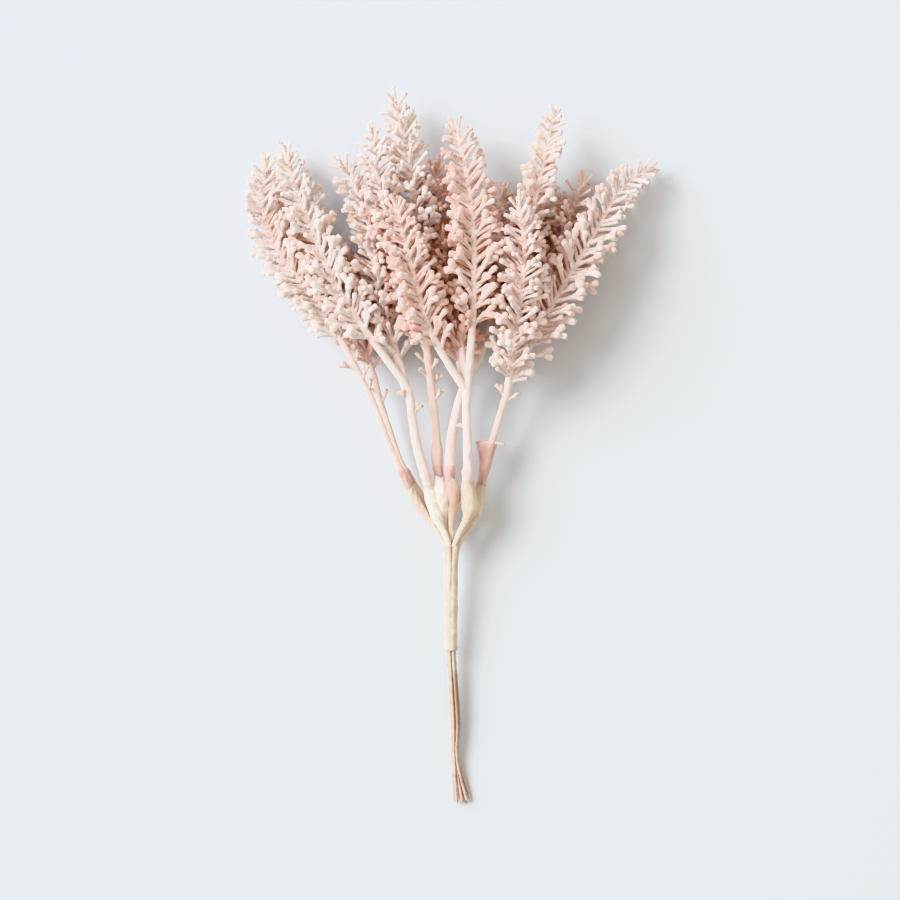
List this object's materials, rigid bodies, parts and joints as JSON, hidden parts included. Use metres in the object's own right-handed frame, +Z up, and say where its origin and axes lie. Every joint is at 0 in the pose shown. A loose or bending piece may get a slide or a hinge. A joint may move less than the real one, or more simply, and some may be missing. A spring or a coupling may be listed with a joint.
{
  "type": "bunch of budded flower spikes on wires",
  "caption": "Lying bunch of dried-look, dusty-pink budded flower spikes on forked sprays, each taped to a wire, with the wires bound together in tape.",
  "frame": {"origin": "on the surface that the bunch lies on, below the middle of its bounding box", "axes": "+Y along the bunch, from the wires' free ends to the spikes' tips; +Z up from the surface; +X to the right, seen from above with the tips away from the viewer"},
  "size_m": [0.104, 0.18, 0.024],
  "materials": {
    "spray": "matte",
    "tape": "matte",
    "wire": "matte"
  },
  "bodies": {
    "root": {"binding": "tape", "spray_centre": "spray", "spray_right": "spray", "spray_left": "spray", "spray_outer_left": "spray", "spray_back_left": "spray", "spray_low_right": "spray", "spray_low_left": "spray", "sleeve_centre": "tape", "sleeve_right": "tape", "sleeve_left": "tape", "sleeve_outer_left": "tape", "sleeve_back_left": "tape", "sleeve_low_right": "tape", "sleeve_low_left": "tape", "wire_centre": "wire", "wire_right": "wire", "wire_left": "wire", "wire_outer_left": "wire", "wire_back_left": "wire", "wire_low_right": "wire", "wire_low_left": "wire"}
  },
  "joints": []
}
